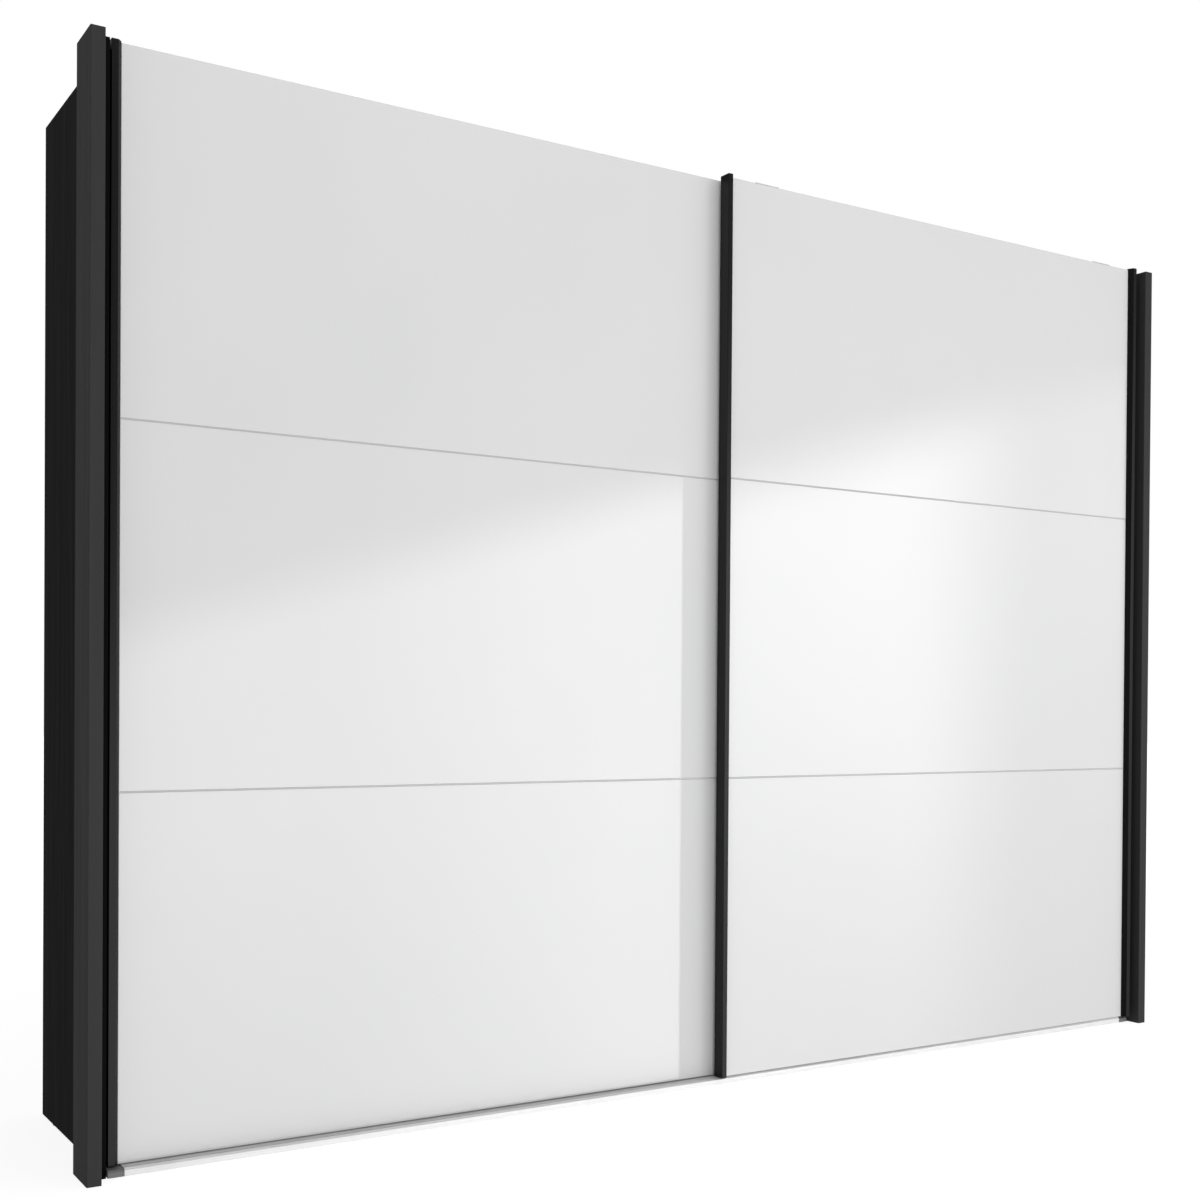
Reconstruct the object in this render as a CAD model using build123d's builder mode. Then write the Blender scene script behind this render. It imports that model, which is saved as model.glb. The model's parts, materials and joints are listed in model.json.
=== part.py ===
from build123d import *
import os

# Wardrobe with two sliding doors that hang in front of the carcass between two side posts.
# Millimetres. Origin: centre of the footprint, on the floor. +X is the user's right when facing
# the doors, the front looks towards -Y, +Z is up. The left door runs in the rear plane, the
# right door in the front plane.

os.makedirs("parts", exist_ok=True)

# ---------------------------------------------------------------- driving dimensions
width = 3000.0                 # over the side posts
depth = 570.0                  # front of the posts to the rear edges of the side panels
post_height = 2167.0
post_width = 28.0
post_depth = 105.0
batten_width = 18.0            # filler between a post and the side panel
batten_setback = 40.0          # front of the post to the front of the batten

door_inset = 51.0              # outer face of a post to the outer edge of its closed door
door_overlap = 28.0            # of the closed doors at the middle
door_bottom = 20.0
rear_door_top = 2168.0
front_door_top = 2171.0
door_travel = 1400.0
front_face_setback = 27.0      # front of the posts to the glass of the front door
rear_face_setback = 55.0       # front of the posts to the glass of the rear door
glass_thickness = 4.0
door_board_thickness = 14.0
glass_count = 3
divider_height = 3.0
strip_flat = 13.0              # flat front of a handle strip
strip_width = 20.0             # with its slanted inner side
strip_leg = 3.0                # leg that covers the edge of the door board
front_strip_rise = 14.0        # in front of the glass
rear_strip_rise = 8.5          # lower, so that it passes behind the front door
front_strip_top = 2174.0       # the strips end a little above the glass
rear_strip_top = 2170.0        # under the arms of the front door

carcass_setback = 78.0         # front of the posts to the front edges of the carcass
side_thickness = 18.0
side_bottom = 4.0
side_top = 2160.0
deck_thickness = 22.0          # top and bottom panels
bottom_deck_z = 60.0
top_deck_z = 2080.0
back_thickness = 4.0
back_inset = 4.0               # rear edge of a side panel to the rear face of the back
groove_depth = 8.0
shelf_thickness = 18.0
shelf_z = 1760.0
shelf_depth = 470.0
plinth_thickness = 16.0

wheel_setback = 130.0          # edge of a door to the axle of its nearest wheel
wheel_radius = 21.5
wheel_width = 10.0
track_base = 3.0
rail_head_radius = 2.5
rail_head_height = 10.0        # underside of the track to the centre of the rail head
groove_centre_radius = 20.0    # wheel axle to the centre of its round groove
running_gap = 0.06             # radial, in the groove and in the bore
axle_radius = 4.0
rear_rail_setback = 95.0       # front of the posts to the rail of the rear door
front_rail_setback = 123.0     # front of the posts to the rail of the front door
hanger_width = 70.0
hanger_thickness = 3.0

edge_ease = 0.8                # eased edges of boards and strips
post_ease = 1.6                # rounder edges of the posts

# ---------------------------------------------------------------- positions worked out from them
front = -depth / 2
rear = depth / 2
half = width / 2
side_outer = half - post_width - batten_width
side_inner = side_outer - side_thickness
carcass_front = front + carcass_setback
back_rear = rear - back_inset
back_front = back_rear - back_thickness
partition_half = side_thickness / 2
bottom_deck_top = bottom_deck_z + deck_thickness
top_deck_top = top_deck_z + deck_thickness

door_width = half - door_inset + door_overlap / 2
left_door_x = (door_inset - half, door_inset - half + door_width)
right_door_x = (half - door_inset - door_width, half - door_inset)
front_face = front + front_face_setback
rear_face = front + rear_face_setback
door_thickness = glass_thickness + door_board_thickness

rail_head_z = top_deck_top + rail_head_height
axle_z = rail_head_z + groove_centre_radius
rear_rail_y = front + rear_rail_setback
front_rail_y = front + front_rail_setback
left_wheels_x = (left_door_x[0] + wheel_setback, left_door_x[1] - wheel_setback)
right_wheels_x = (right_door_x[0] + wheel_setback, right_door_x[1] - wheel_setback)


# ---------------------------------------------------------------- shared helpers
def save(builder, name):
    """Label a finished piece and write it to its own file."""
    builder.part.label = name
    export_step(builder.part, f"parts/{name}.step")


def span(limits):
    return limits[1] - limits[0]


def middle(limits):
    return (limits[0] + limits[1]) / 2


def ordered(a, b):
    return (min(a, b), max(a, b))


def rectangle_between(u_limits, v_limits, mode=Mode.ADD):
    """A rectangle in the current sketch between two pairs of limits."""
    with Locations((middle(u_limits), middle(v_limits))):
        Rectangle(span(u_limits), span(v_limits), mode=mode)


def board(x_limits, y_limits, z_limits, ease=0.0):
    """A straight board or bar, with its upright edges eased where asked."""
    with BuildPart() as piece:
        with BuildSketch(Plane.XY.offset(z_limits[0])):
            rectangle_between(x_limits, y_limits)
        extrude(amount=span(z_limits))
        if ease:
            fillet(piece.edges().filter_by(Axis.Z), ease)
    return piece


# ---------------------------------------------------------------- fasteners of the carcass
screw_radius = 2.5
screw_head_radius = 4.5
screw_head_height = 2.5
screw_socket_radius = 1.8
screw_socket_depth = 1.5


def screws(seats, direction, length):
    """Pan-head screws. A seat is where the head bears, the direction is the way in."""
    inwards = Vector(*direction)
    with BuildPart() as group:
        for seat in seats:
            head_top = Vector(*seat) - inwards * screw_head_height
            with BuildSketch(Plane(origin=seat, z_dir=direction)):
                Circle(screw_radius)
            extrude(amount=length)
            with BuildSketch(Plane(origin=tuple(head_top), z_dir=direction)):
                Circle(screw_head_radius)
                RegularPolygon(screw_socket_radius, 6, mode=Mode.SUBTRACT)
            extrude(amount=screw_socket_depth)
            with BuildSketch(Plane(origin=seat, z_dir=direction)):
                Circle(screw_head_radius)
            extrude(amount=screw_socket_depth - screw_head_height)
    return group


# Cam fittings: a bolt in the upright panel reaches into the end of a deck, where a cam disc,
# let into the underside of the deck, pulls it tight.
cam_radius = 7.5
cam_height = 13.5
cam_distance = 34.0            # end of the deck to the centre of the cam
cam_mouth = 0.1                # play round the bolt inside the cam
cam_slot = 1.6
cam_rows_y = (-150.0, 35.0, 220.0)
cam_stagger = 32.0             # the right half is offset, so bolts don't meet in the partition
bolt_thread_radius = 2.5
bolt_thread_length = 8.5
bolt_shank_radius = 3.5
bolt_reach = 31.0              # end of the deck to the tip of the bolt, inside the cam


def cam_ys(sign):
    return [y + cam_stagger if sign > 0 else y for y in cam_rows_y]


def deck_ends(sign):
    """Both ends of a deck as (x of the end, direction from the end into the deck)."""
    return ((sign * side_inner, -sign), (sign * partition_half, sign))


deck_bottoms = (bottom_deck_z, top_deck_z)

# Shelf-pin bores, in rows at the usual 32 mm spacing.
pin_radius = 2.5
pin_bore_depth = 8.5
pin_reach = 8.0
pin_pitch = 32.0
pin_rows_y = (-150.0, 210.0)
pin_z = shelf_z - pin_radius
pin_bores_z = [pin_z + step * pin_pitch for step in range(-3, 4)]

# Screws that hold a post and its batten to the side panel.
post_screw_y = (carcass_front + front + post_depth) / 2
post_screw_zs = (150.0, 750.0, 1400.0, 2050.0)
post_bite = 16.0

# Screws into the top panels: those of the top track, and those of the two wall brackets.
deck_screw_bite = 15.0
track_screw_xs = (-1330.0, -950.0, -570.0, -190.0, 190.0, 570.0, 950.0, 1330.0)
track_screw_y = (rear_rail_y + front_rail_y) / 2
wall_bracket_x = 1000.0
bracket_hole_offset = 15.0
bracket_screw_y = 240.0
bracket_hole_xs = [s * wall_bracket_x + o * bracket_hole_offset for s in (-1, 1) for o in (-1, 1)]
deck_screw_places = [(x, track_screw_y) for x in track_screw_xs]
deck_screw_places += [(x, bracket_screw_y) for x in bracket_hole_xs]


def bore_along_x(x_limits, y, z, radius):
    """Cut a round bore along X in the current part."""
    with Locations((middle(x_limits), y, z)):
        Cylinder(radius, span(x_limits), rotation=(0, 90, 0), mode=Mode.SUBTRACT)


def bore_along_z(x, y, z_limits, radius):
    """Cut a round bore along Z in the current part."""
    with Locations((x, y, middle(z_limits))):
        Cylinder(radius, span(z_limits), mode=Mode.SUBTRACT)


def fitting_bores(face_x, inwards, sign):
    """Bores in the face of an upright panel: cam bolts of both decks, and shelf pins."""
    bolt_limits = ordered(face_x, face_x + inwards * bolt_thread_length)
    pin_limits = ordered(face_x, face_x + inwards * pin_bore_depth)
    for deck_z in deck_bottoms:
        for y in cam_ys(sign):
            bore_along_x(bolt_limits, y, deck_z + deck_thickness / 2, bolt_thread_radius)
    for y in pin_rows_y:
        for z in pin_bores_z:
            bore_along_x(pin_limits, y, z, pin_radius)


# ---------------------------------------------------------------- carcass
def side_panel(sign):
    outer = sign * side_outer
    inner = sign * side_inner
    with BuildPart() as panel:
        with BuildSketch(Plane.XY.offset(side_bottom)):
            rectangle_between(ordered(outer, inner), (carcass_front, rear))
        extrude(amount=side_top - side_bottom)
        fillet(panel.edges().filter_by(Axis.Z), edge_ease)
        with BuildSketch(Plane.XY.offset(side_bottom)):
            rectangle_between(ordered(inner, inner + sign * groove_depth), (back_front, back_rear))
        extrude(amount=side_top - side_bottom, mode=Mode.SUBTRACT)
        fitting_bores(inner, sign, sign)
        for z in post_screw_zs:
            bore_along_x(ordered(outer, inner), post_screw_y, z, screw_radius)
    return panel


for side_name, side_sign in (("left", -1), ("right", 1)):
    save(side_panel(side_sign), f"side_panel_{side_name}")

with BuildPart() as centre_partition:
    with BuildSketch(Plane.XY.offset(bottom_deck_z)):
        rectangle_between((-partition_half, partition_half), (carcass_front, back_front))
    extrude(amount=top_deck_top - bottom_deck_z)
    fillet(centre_partition.edges().filter_by(Axis.Z).group_by(Axis.Y)[0], edge_ease)
    for half_sign in (-1, 1):
        fitting_bores(half_sign * partition_half, -half_sign, half_sign)
save(centre_partition, "centre_partition")


def deck(sign, bottom_z):
    """A top or bottom panel between a side panel and the partition, bored for its fittings."""
    with BuildPart() as panel:
        with BuildSketch(Plane.XY.offset(bottom_z)):
            rectangle_between(ordered(sign * partition_half, sign * side_inner), (carcass_front, back_front))
        extrude(amount=deck_thickness)
        fillet(panel.edges().filter_by(Axis.X).group_by(Axis.Y)[0], edge_ease)
        for end_x, inwards in deck_ends(sign):
            for y in cam_ys(sign):
                with Locations((end_x + inwards * cam_distance, y, bottom_z + cam_height / 2)):
                    Cylinder(cam_radius, cam_height, mode=Mode.SUBTRACT)
                shank_limits = ordered(end_x, end_x + inwards * bolt_reach)
                bore_along_x(shank_limits, y, bottom_z + deck_thickness / 2, bolt_shank_radius)
        if bottom_z == top_deck_z:
            bite_z = (top_deck_top - deck_screw_bite, top_deck_top)
            for x, y in deck_screw_places:
                if x * sign > 0:
                    bore_along_z(x, y, bite_z, screw_radius)
    return panel


for side_name, side_sign in (("left", -1), ("right", 1)):
    save(deck(side_sign, bottom_deck_z), f"bottom_panel_{side_name}")
    save(deck(side_sign, top_deck_z), f"top_panel_{side_name}")

with BuildPart() as cam_locks:
    for deck_z in deck_bottoms:
        for half_sign in (-1, 1):
            for end_x, inwards in deck_ends(half_sign):
                for y in cam_ys(half_sign):
                    cam_x = end_x + inwards * cam_distance
                    with BuildSketch(Plane.XY.offset(deck_z)):
                        with Locations((cam_x, y)):
                            Circle(cam_radius)
                            Rectangle(cam_radius, cam_slot, mode=Mode.SUBTRACT)
                            Rectangle(cam_slot, cam_radius, mode=Mode.SUBTRACT)
                    extrude(amount=cam_slot)
                    with BuildSketch(Plane.XY.offset(deck_z + cam_slot)):
                        with Locations((cam_x, y)):
                            Circle(cam_radius)
                    extrude(amount=cam_height - cam_slot)
                    mouth_limits = ordered(cam_x, cam_x - inwards * cam_radius)
                    bore_along_x(mouth_limits, y, deck_z + deck_thickness / 2, bolt_shank_radius + cam_mouth)
save(cam_locks, "cam_locks")

with BuildPart() as cam_bolts:
    for deck_z in deck_bottoms:
        for half_sign in (-1, 1):
            for end_x, inwards in deck_ends(half_sign):
                for y in cam_ys(half_sign):
                    bolt_root = (end_x, y, deck_z + deck_thickness / 2)
                    with BuildSketch(Plane(origin=bolt_root, z_dir=(inwards, 0, 0))):
                        Circle(bolt_shank_radius)
                    extrude(amount=bolt_reach)
                    with BuildSketch(Plane(origin=bolt_root, z_dir=(-inwards, 0, 0))):
                        Circle(bolt_thread_radius)
                    extrude(amount=bolt_thread_length)
save(cam_bolts, "cam_bolts")

# The back: one thin panel behind each half, held in the grooves of the sides and by a T-shaped
# strip behind the partition.
joint_web = 4.0
joint_flange = 30.0
joint_flange_thickness = 1.5
for side_name, side_sign in (("left", -1), ("right", 1)):
    back_x = ordered(side_sign * joint_web / 2, side_sign * (side_inner + groove_depth))
    save(board(back_x, (back_front, back_rear), (bottom_deck_z, top_deck_top)), f"back_panel_{side_name}")

with BuildPart() as back_joint_strip:
    with BuildSketch(Plane.XY.offset(bottom_deck_z)):
        rectangle_between((-joint_web / 2, joint_web / 2), (back_front, back_rear))
        flange_y = (back_rear, back_rear + joint_flange_thickness)
        rectangle_between((-joint_flange / 2, joint_flange / 2), flange_y)
    extrude(amount=top_deck_top - bottom_deck_z)
save(back_joint_strip, "back_joint_strip")

# Plinth boards under the front and the rear of the bottom panels.
bottom_track_flange = 2.0
bottom_track_z = 3.0
plinth_front_gap = 2.0
plinth_back_gap = 10.0
plinth_front_y = (carcass_front + plinth_front_gap, carcass_front + plinth_front_gap + plinth_thickness)
plinth_back_y = (back_front - plinth_back_gap - plinth_thickness, back_front - plinth_back_gap)
plinth_x = (-side_inner, side_inner)
plinth_front_z = (bottom_track_z + bottom_track_flange, bottom_deck_z)
save(board(plinth_x, plinth_front_y, plinth_front_z), "plinth_front")
save(board(plinth_x, plinth_back_y, (side_bottom, bottom_deck_z)), "plinth_back")

# Levelling feet under the bottom panels, and glides under the side panels.
foot_pad_radius = 22.0
foot_pad_height = 8.0
foot_stem_radius = 7.0
foot_cup_radius = 27.0
foot_cup_height = 16.0
foot_spacing_x = 690.0
foot_rows_y = (-150.0, 215.0)
foot_columns = 5

with BuildPart() as levelling_feet:
    for column in range(foot_columns):
        foot_x = (column - (foot_columns - 1) / 2) * foot_spacing_x
        for foot_y in foot_rows_y:
            with BuildSketch(Plane(origin=(foot_x, foot_y, 0), x_dir=(1, 0, 0), z_dir=(0, -1, 0))):
                rectangle_between((0, foot_pad_radius), (0, foot_pad_height))
                rectangle_between((0, foot_stem_radius), (0, bottom_deck_z))
                rectangle_between((0, foot_cup_radius), (bottom_deck_z - foot_cup_height, bottom_deck_z))
            revolve(axis=Axis((foot_x, foot_y, 0), (0, 0, 1)))
save(levelling_feet, "levelling_feet")

glide_radius = 8.0
glide_spacing_y = 380.0
with BuildPart() as side_glides:
    with BuildSketch():
        with GridLocations(side_outer + side_inner, glide_spacing_y, 2, 2):
            Circle(glide_radius)
    extrude(amount=side_bottom)
    chamfer(side_glides.faces().filter_by(Axis.Z).group_by(Axis.Z)[0].edges(), edge_ease)
save(side_glides, "side_glides")

# ---------------------------------------------------------------- inside fittings
shelf_gap = 1.0
shelf_back_gap = 4.0
shelf_back = back_front - shelf_back_gap
for side_name, side_sign in (("left", -1), ("right", 1)):
    shelf_x = ordered(side_sign * (partition_half + shelf_gap), side_sign * (side_inner - shelf_gap))
    with BuildPart() as hat_shelf:
        with BuildSketch(Plane.XY.offset(shelf_z)):
            rectangle_between(shelf_x, (shelf_back - shelf_depth, shelf_back))
        extrude(amount=shelf_thickness)
        fillet(hat_shelf.edges().filter_by(Axis.X).group_by(Axis.Y)[0], edge_ease)
    save(hat_shelf, f"hat_shelf_{side_name}")

with BuildPart() as shelf_pins:
    for half_sign in (-1, 1):
        for face_x, inwards in deck_ends(half_sign):
            pin_limits = ordered(face_x - inwards * pin_bore_depth, face_x + inwards * pin_reach)
            for y in pin_rows_y:
                with Locations((middle(pin_limits), y, pin_z)):
                    Cylinder(pin_radius, span(pin_limits), rotation=(0, 90, 0))
save(shelf_pins, "shelf_pins")

# Hanging rail: an oval tube in two end brackets, with a hanger from the shelf at mid-span.
rail_height = 30.0
rail_breadth = 15.0
rail_wall = 1.2
rail_z = 1690.0
rail_y = 34.0
rail_play = 0.1
bracket_plate = 2.0
bracket_socket = 10.0
bracket_wall = 2.0
bracket_margin = 12.0
hanger_strap = 4.0
hanger_foot = 40.0
hanger_breadth = 22.0


def oval(height, breadth, mode=Mode.ADD):
    """An upright oval in a YZ sketch, centred on the hanging rail."""
    with Locations((rail_y, rail_z)):
        SlotOverall(height, breadth, rotation=90, mode=mode)


rail_ends = partition_half + bracket_plate, side_inner - bracket_plate
for side_name, side_sign in (("left", -1), ("right", 1)):
    rail_x = ordered(side_sign * rail_ends[0], side_sign * rail_ends[1])
    with BuildPart() as hanging_rail:
        with BuildSketch(Plane.YZ.offset(rail_x[0])):
            oval(rail_height, rail_breadth)
            oval(rail_height - 2 * rail_wall, rail_breadth - 2 * rail_wall, Mode.SUBTRACT)
        extrude(amount=span(rail_x))
    save(hanging_rail, f"hanging_rail_{side_name}")

with BuildPart() as rail_end_brackets:
    for half_sign in (-1, 1):
        for face_x, inwards in deck_ends(half_sign):
            plate_x = ordered(face_x, face_x + inwards * bracket_plate)
            socket_x = ordered(face_x + inwards * bracket_plate, face_x + inwards * bracket_socket)
            with BuildSketch(Plane.YZ.offset(plate_x[0])):
                oval(rail_height + 2 * bracket_margin, rail_breadth + 2 * bracket_margin)
            extrude(amount=span(plate_x))
            with BuildSketch(Plane.YZ.offset(socket_x[0])):
                oval(rail_height + 2 * bracket_wall, rail_breadth + 2 * bracket_wall)
                oval(rail_height + 2 * rail_play, rail_breadth + 2 * rail_play, Mode.SUBTRACT)
            extrude(amount=span(socket_x))
save(rail_end_brackets, "rail_end_brackets")

with BuildPart() as rail_centre_hangers:
    for half_sign in (-1, 1):
        hanger_x = half_sign * (partition_half + side_inner) / 2
        strap_bottom = rail_z + rail_height / 2 + rail_play
        with BuildSketch(Plane.YZ.offset(hanger_x - hanger_breadth / 2)):
            oval(rail_height + 2 * hanger_strap, rail_breadth + 2 * hanger_strap)
            rectangle_between((rail_y - hanger_strap / 2, rail_y + hanger_strap / 2), (strap_bottom, shelf_z))
            foot_y = (rail_y - hanger_foot / 2, rail_y + hanger_foot / 2)
            rectangle_between(foot_y, (shelf_z - bracket_plate, shelf_z))
            oval(rail_height + 2 * rail_play, rail_breadth + 2 * rail_play, Mode.SUBTRACT)
        extrude(amount=hanger_breadth)
save(rail_centre_hangers, "rail_centre_hangers")

# ---------------------------------------------------------------- side posts
for side_name, side_sign in (("left", -1), ("right", 1)):
    post_inner = side_sign * (half - post_width)
    with BuildPart() as side_post:
        with BuildSketch():
            rectangle_between(ordered(side_sign * half, post_inner), (front, front + post_depth))
        extrude(amount=post_height)
        fillet(side_post.edges().filter_by(Axis.Z), post_ease)
        bite_x = ordered(post_inner, post_inner + side_sign * post_bite)
        for screw_z in post_screw_zs:
            bore_along_x(bite_x, post_screw_y, screw_z, screw_radius)
    save(side_post, f"side_post_{side_name}")

    batten_x = ordered(post_inner, side_sign * side_outer)
    with BuildPart() as post_batten:
        with BuildSketch():
            rectangle_between(batten_x, (front + batten_setback, front + post_depth))
        extrude(amount=post_height)
        for screw_z in post_screw_zs:
            bore_along_x(batten_x, post_screw_y, screw_z, screw_radius)
    save(post_batten, f"post_batten_{side_name}")

post_screw_length = side_thickness + batten_width + post_bite
with BuildPart() as post_screws:
    for half_sign in (-1, 1):
        post_seats = [(half_sign * side_inner, post_screw_y, z) for z in post_screw_zs]
        add(screws(post_seats, (half_sign, 0, 0), post_screw_length).part)
save(post_screws, "post_screws")

# ---------------------------------------------------------------- top track, its stops, wall brackets
track_ends_gap = 3.0
track_margin = 12.0            # each rail to the edge of the track's base
track_y = (rear_rail_y - track_margin, front_rail_y + track_margin)
track_top = top_deck_top + track_base
rail_neck = 3.0
track_x = (-side_inner + track_ends_gap, side_inner - track_ends_gap)

with BuildPart() as top_track:
    with BuildSketch(Plane.YZ.offset(track_x[0])):
        rectangle_between(track_y, (top_deck_top, track_top))
        for rail_line in (rear_rail_y, front_rail_y):
            neck_y = (rail_line - rail_neck / 2, rail_line + rail_neck / 2)
            rectangle_between(neck_y, (track_top, rail_head_z))
            with Locations((rail_line, rail_head_z)):
                Circle(rail_head_radius)
    extrude(amount=span(track_x))
    for x in track_screw_xs:
        bore_along_z(x, track_screw_y, (top_deck_top, track_top), screw_radius)
save(top_track, "top_track")

# Rubber stops that straddle the rails, one at each end of each door's travel.
stop_length = 20.0
stop_half_width = 7.0
stop_height = 36.0
stop_gap = 0.6
stop_play = 0.1
stop_slot = rail_head_radius + stop_play


def stop_places(wheels_x, travel, rail_line):
    """The two stops of one door, just past its outer wheels at the ends of its travel."""
    reach = wheel_radius + stop_gap + stop_length / 2
    low = min(wheels_x[0], wheels_x[0] + travel) - reach
    high = max(wheels_x[1], wheels_x[1] + travel) + reach
    return [(low, rail_line), (high, rail_line)]


with BuildPart() as track_stops:
    stops = stop_places(left_wheels_x, door_travel, rear_rail_y)
    stops += stop_places(right_wheels_x, -door_travel, front_rail_y)
    for stop_x, stop_y in stops:
        block_y = (stop_y - stop_half_width, stop_y + stop_half_width)
        slot_y = (stop_y - stop_slot, stop_y + stop_slot)
        with BuildSketch(Plane.YZ.offset(stop_x - stop_length / 2)):
            rectangle_between(block_y, (track_top, track_top + stop_height))
            rectangle_between(slot_y, (track_top, rail_head_z), mode=Mode.SUBTRACT)
            with Locations((stop_y, rail_head_z)):
                Circle(stop_slot, mode=Mode.SUBTRACT)
        extrude(amount=stop_length)
save(track_stops, "track_stops")

wall_bracket_half_width = 30.0
wall_bracket_thickness = 2.5
wall_bracket_top = 2155.0
wall_bracket_front = 222.0
wall_hole_radius = 3.5
wall_hole_z = 2138.0
wall_bracket_bend = 3.0
leg_front = rear - wall_bracket_thickness
plate_top = top_deck_top + wall_bracket_thickness

with BuildPart() as wall_brackets:
    for half_sign in (-1, 1):
        bracket_x = half_sign * wall_bracket_x
        with BuildSketch(Plane.YZ.offset(bracket_x - wall_bracket_half_width)):
            rectangle_between((wall_bracket_front, rear), (top_deck_top, plate_top))
            rectangle_between((leg_front, rear), (top_deck_top, wall_bracket_top))
            bend_corner = vertices().sort_by_distance((leg_front, plate_top))[0]
            fillet(bend_corner, wall_bracket_bend)
        extrude(amount=2 * wall_bracket_half_width)
    for x in bracket_hole_xs:
        bore_along_z(x, bracket_screw_y, (top_deck_top, plate_top), screw_radius)
        with Locations((x, rear - wall_bracket_thickness / 2, wall_hole_z)):
            Cylinder(wall_hole_radius, wall_bracket_thickness, rotation=(90, 0, 0), mode=Mode.SUBTRACT)
save(wall_brackets, "wall_brackets")

with BuildPart() as carcass_screws:
    track_seats = [(x, track_screw_y, track_top) for x in track_screw_xs]
    bracket_seats = [(x, bracket_screw_y, plate_top) for x in bracket_hole_xs]
    add(screws(track_seats, (0, 0, -1), track_base + deck_screw_bite).part)
    add(screws(bracket_seats, (0, 0, -1), wall_bracket_thickness + deck_screw_bite).part)
save(carcass_screws, "carcass_screws")

# ---------------------------------------------------------------- bottom track
# A flat hollow profile in front of the plinth, with one slot per door for its guide fins and a
# sloping front lip. Its rear flange runs under the plinth board.
track_lip_setback = 28.0
track_lip = 4.0                # breadth and height of the sloping lip
ledge_top = 18.0
bottom_wall = 2.0
guide_slot = 2.6
track_end_inset = 78.0
cap_inset = 46.4               # just clear of the battens
cap_top = 17.0
board_centre = glass_thickness + door_board_thickness / 2
guide_ys = (front_face + board_centre, rear_face + board_centre)
bottom_body_y = (front + track_lip_setback, carcass_front)
bottom_flange_z = (bottom_track_z, bottom_track_z + bottom_track_flange)
bottom_track_x = (track_end_inset - half, half - track_end_inset)

with BuildPart() as bottom_track:
    with BuildSketch(Plane.YZ.offset(bottom_track_x[0])):
        rectangle_between(bottom_body_y, (bottom_track_z, ledge_top))
        chamfer(vertices().sort_by_distance((bottom_body_y[0], ledge_top))[0], track_lip)
        rectangle_between((carcass_front, plinth_front_y[1]), bottom_flange_z)
        chamber_z = (bottom_track_z + bottom_wall, ledge_top - bottom_wall)
        walls = [bottom_body_y[0] + bottom_wall + track_lip / 2]
        for guide_y in guide_ys:
            slot_y = (guide_y - guide_slot / 2, guide_y + guide_slot / 2)
            rectangle_between((walls[-1], slot_y[0] - bottom_wall), chamber_z, mode=Mode.SUBTRACT)
            rectangle_between(slot_y, (bottom_track_z + bottom_wall, ledge_top), mode=Mode.SUBTRACT)
            walls.append(slot_y[1] + bottom_wall)
        rectangle_between((walls[-1], bottom_body_y[1] - bottom_wall), chamber_z, mode=Mode.SUBTRACT)
    extrude(amount=span(bottom_track_x))
save(bottom_track, "bottom_track")

with BuildPart() as bottom_track_end_caps:
    for half_sign in (-1, 1):
        cap_x = ordered(half_sign * (half - cap_inset), half_sign * (half - track_end_inset))
        with BuildSketch(Plane.YZ.offset(cap_x[0])):
            rectangle_between(bottom_body_y, (bottom_track_z, cap_top))
            chamfer(vertices().sort_by_distance((bottom_body_y[0], cap_top))[0], track_lip)
        extrude(amount=span(cap_x))
    chamfer(bottom_track_end_caps.faces().sort_by(Axis.Z)[-2:].edges(), edge_ease)
save(bottom_track_end_caps, "bottom_track_end_caps")

# ---------------------------------------------------------------- parts that both doors share
joint_gap = 0.3                # glass to the strip beside it
glass_arris = 1.0
divider_recess = 0.2
strip_lip = 1.0                # the slanted side ends this far in front of the glass
flat_edge_width = 3.0          # plain edge of the rear door, which the front door covers
stiffener_width = 25.0
stiffener_depth = 6.0
stiffener_offset = 400.0       # from the middle of the door
stiffener_margin = 60.0
guide_length = 60.0
guide_fin = 1.8
guide_foot = 12.0
guide_foot_height = 1.2
guide_bottom = 6.5
guide_inset = 150.0            # edge of the door to the middle of a guide


def handle_strip(edge_x, inwards, face_y, rise, top_z):
    """A strip round the door's edge: flat front, slanted inner side, leg beside the board."""
    outline = [
        (0, -rise),
        (strip_flat, -rise),
        (strip_width, -strip_lip),
        (strip_width, glass_thickness),
        (strip_leg, glass_thickness),
        (strip_leg, door_thickness),
        (0, door_thickness),
    ]
    with BuildPart() as strip:
        with BuildSketch(Plane.XY.offset(door_bottom)):
            with BuildLine():
                Polyline(*[(edge_x + inwards * u, face_y + v) for u, v in outline], close=True)
            make_face()
        extrude(amount=top_z - door_bottom)
        fillet(strip.edges().filter_by(Axis.Z).group_by(Axis.Y)[0], edge_ease)
    return strip


def glass_rows(top_z):
    """Height limits of the panes, from the top down, and of the dividers between them."""
    pane_height = (top_z - door_bottom - (glass_count - 1) * divider_height) / glass_count
    pitch = pane_height + divider_height
    pane_tops = [top_z - row * pitch for row in range(glass_count)]
    panes = [(pane_top - pane_height, pane_top) for pane_top in pane_tops]
    dividers = [(pane_top, pane_top + divider_height) for pane_top in pane_tops[1:]]
    return panes, dividers


def glass_pane(x_limits, face_y, z_limits):
    with BuildPart() as pane:
        with BuildSketch(Plane.XZ.offset(-face_y)):
            rectangle_between(x_limits, z_limits)
        extrude(amount=-glass_thickness)
        chamfer(pane.faces().sort_by(Axis.Y)[0].edges(), glass_arris)
    return pane


def divider_bars(x_limits, face_y, rows):
    with BuildPart() as bars:
        for z_limits in rows:
            with BuildSketch(Plane.XZ.offset(-face_y - divider_recess)):
                rectangle_between(x_limits, z_limits)
            extrude(amount=divider_recess - glass_thickness)
    return bars


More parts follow.
